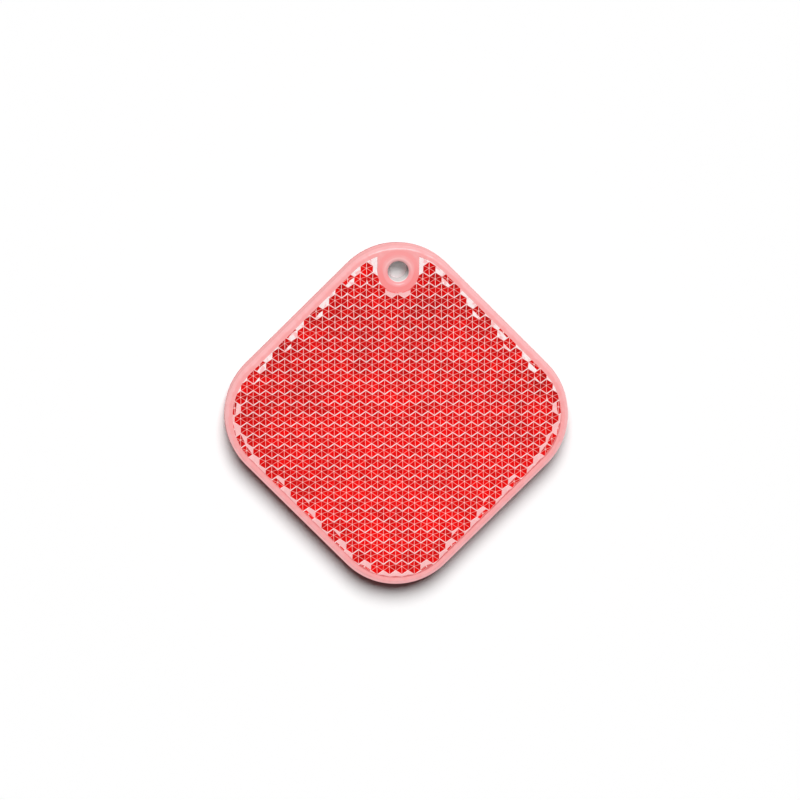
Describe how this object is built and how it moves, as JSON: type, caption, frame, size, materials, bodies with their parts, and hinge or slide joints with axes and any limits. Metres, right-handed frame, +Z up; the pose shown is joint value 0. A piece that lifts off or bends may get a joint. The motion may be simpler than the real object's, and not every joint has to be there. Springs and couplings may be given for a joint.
{
  "type": "square reflector",
  "caption": "Clear red pendant safety reflector: a rounded square with corner-cube prisms behind both faces and a cord hole in one corner.",
  "frame": {"origin": "middle of the outline, on the back face that it lies on", "axes": "+Z up out of the front face, +Y towards the corner with the cord hole, +X to the right as the front is seen with the hole at the top"},
  "size_m": [0.0604, 0.0604, 0.0057],
  "materials": {
    "clear_red": "gloss"
  },
  "bodies": {
    "root": {"front_half": "clear_red", "rear_half": "clear_red"}
  },
  "joints": []
}
